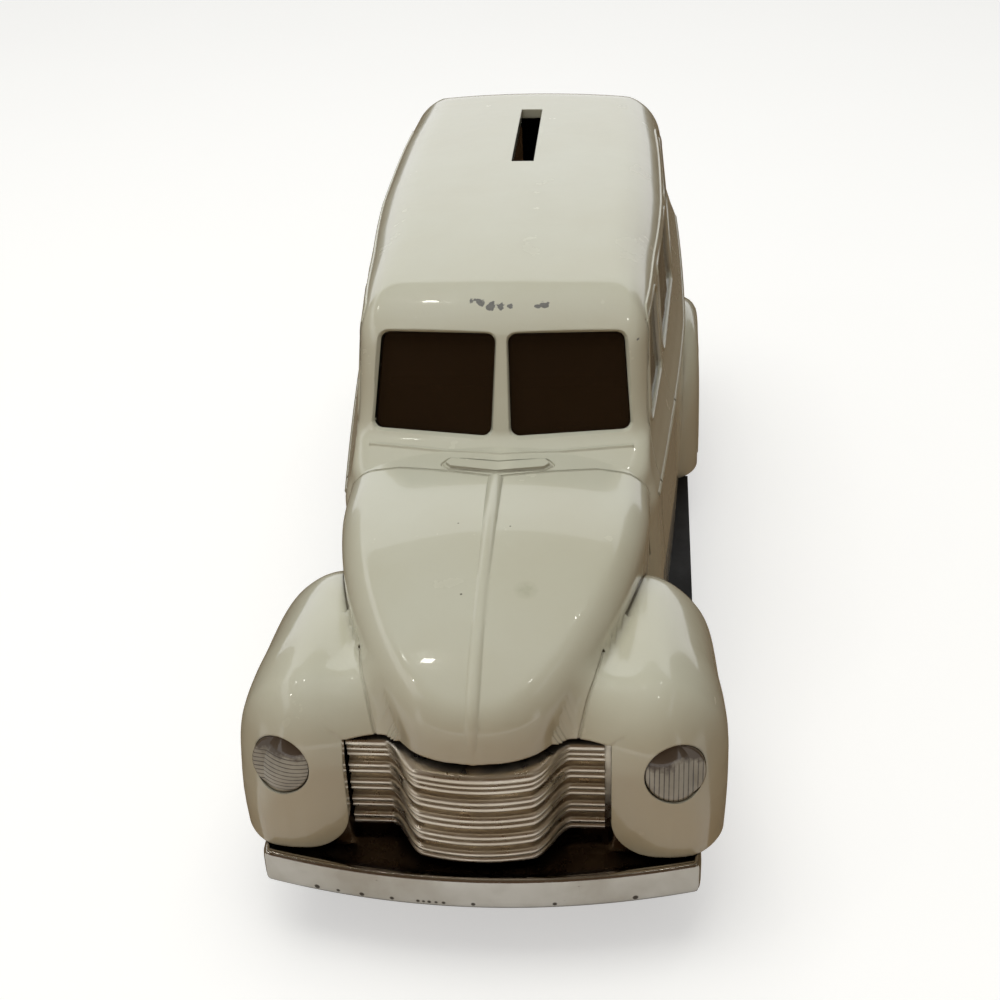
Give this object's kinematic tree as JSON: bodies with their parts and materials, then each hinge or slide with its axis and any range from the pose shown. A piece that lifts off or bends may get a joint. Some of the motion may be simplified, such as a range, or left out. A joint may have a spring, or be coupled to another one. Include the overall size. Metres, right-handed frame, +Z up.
{
  "type": "toy truck coin bank",
  "caption": "Die-cast coin bank shaped like a rounded two-box carryall wagon, with a coin slot in the roof, rolling wheels and a locked coin trap underneath.",
  "frame": {"origin": "on the ground under the middle of the bank, halfway between the two bumper faces", "axes": "+Z up, the front of the wagon faces -Y, +X is the wagon's own left side"},
  "size_m": [0.0782, 0.2, 0.0805],
  "materials": {
    "cream_enamel": "gloss stoved enamel, aged, with grime in the creases and a few chips",
    "black_enamel": "satin black enamel, lightly scuffed",
    "bright_plate": "bright plated metal, worn and faintly pitted",
    "lamp_red": "gloss red enamel",
    "smoked_glass": "smoked clear plastic glazing",
    "interior_plastic": "matt tan moulded plastic",
    "black_plastic": "matt black moulded plastic",
    "bare_steel": "bare steel, slightly dulled",
    "tyre_rubber": "matt black rubber",
    "lock_brass": "turned brass, dulled"
  },
  "bodies": {
    "shell": {"body_casting": "cream_enamel", "chassis_base": "black_enamel", "front_grille": "bright_plate", "front_bumper": "bright_plate", "rear_bumper": "bright_plate", "headlamp_left": "bright_plate", "headlamp_right": "bright_plate", "tail_lamp_left": "lamp_red", "tail_lamp_right": "lamp_red", "windscreen": "smoked_glass", "side_glass_left": "smoked_glass", "side_glass_right": "smoked_glass", "rear_glass": "smoked_glass", "dashboard": "interior_plastic", "steering_column": "black_plastic", "steering_wheel": "black_plastic", "bench_seat": "interior_plastic", "coin_bulkhead": "black_plastic", "base_screws": "bare_steel"},
    "front_wheelset": {"front_axle": "bare_steel", "wheel_front_left": "cream_enamel", "wheel_front_right": "cream_enamel", "tyre_front_left": "tyre_rubber", "tyre_front_right": "tyre_rubber", "hubcap_front_left": "bright_plate", "hubcap_front_right": "bright_plate"},
    "rear_wheelset": {"rear_axle": "bare_steel", "wheel_rear_left": "cream_enamel", "wheel_rear_right": "cream_enamel", "tyre_rear_left": "tyre_rubber", "tyre_rear_right": "tyre_rubber", "hubcap_rear_left": "bright_plate", "hubcap_rear_right": "bright_plate"},
    "coin_trap": {"trap_plate": "bare_steel", "lock_barrel": "lock_brass", "lock_clip": "bare_steel"}
  },
  "joints": [
    {"name": "front_wheels_roll", "type": "hinge", "parent": "shell", "child": "front_wheelset", "pos_m": [0, -0.066, 0.01425], "axis": [1, 0, 0], "continuous": true},
    {"name": "rear_wheels_roll", "type": "hinge", "parent": "shell", "child": "rear_wheelset", "pos_m": [0, 0.052, 0.01425], "axis": [1, 0, 0], "continuous": true},
    {"name": "coin_trap_swing", "type": "hinge", "parent": "shell", "child": "coin_trap", "pos_m": [-0.0186, 0.018, 0.0157], "axis": [0, 0, -1], "range_deg": [0, 90]}
  ]
}
